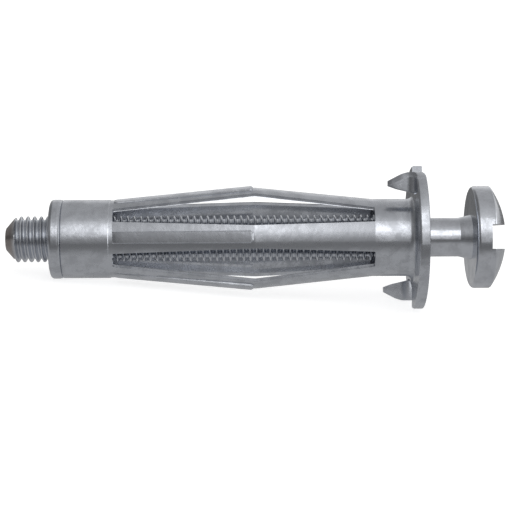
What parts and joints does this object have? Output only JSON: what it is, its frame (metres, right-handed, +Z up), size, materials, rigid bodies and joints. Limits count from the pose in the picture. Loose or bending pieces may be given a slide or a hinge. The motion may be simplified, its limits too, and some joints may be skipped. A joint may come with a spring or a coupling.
{
  "type": "hollow wall anchor",
  "caption": "Hollow wall anchor: a slotted steel sleeve with folding legs and a toothed flange, a nut at its far end, and a slotted pan head machine screw.",
  "frame": {"origin": "on the anchor's axis, at the flange's wall face", "axes": "+X along the axis towards the screw's head, +Z up as the part lies on its flange and its nut"},
  "size_m": [0.0648, 0.0186, 0.0182],
  "materials": {
    "sleeve_zinc": "bright zinc plating, satin, faintly mottled",
    "nut_zinc": "bright zinc plating over a turned face",
    "screw_zinc": "bright zinc plating, darker at the tip"
  },
  "bodies": {
    "anchor": {"sleeve": "sleeve_zinc", "nut": "nut_zinc"},
    "screw": {"screw": "screw_zinc"}
  },
  "joints": [
    {"name": "screw_travel", "type": "slide", "parent": "anchor", "child": "screw", "axis": [1, 0, 0], "range_m": [-0.00606, 0.05454]}
  ]
}
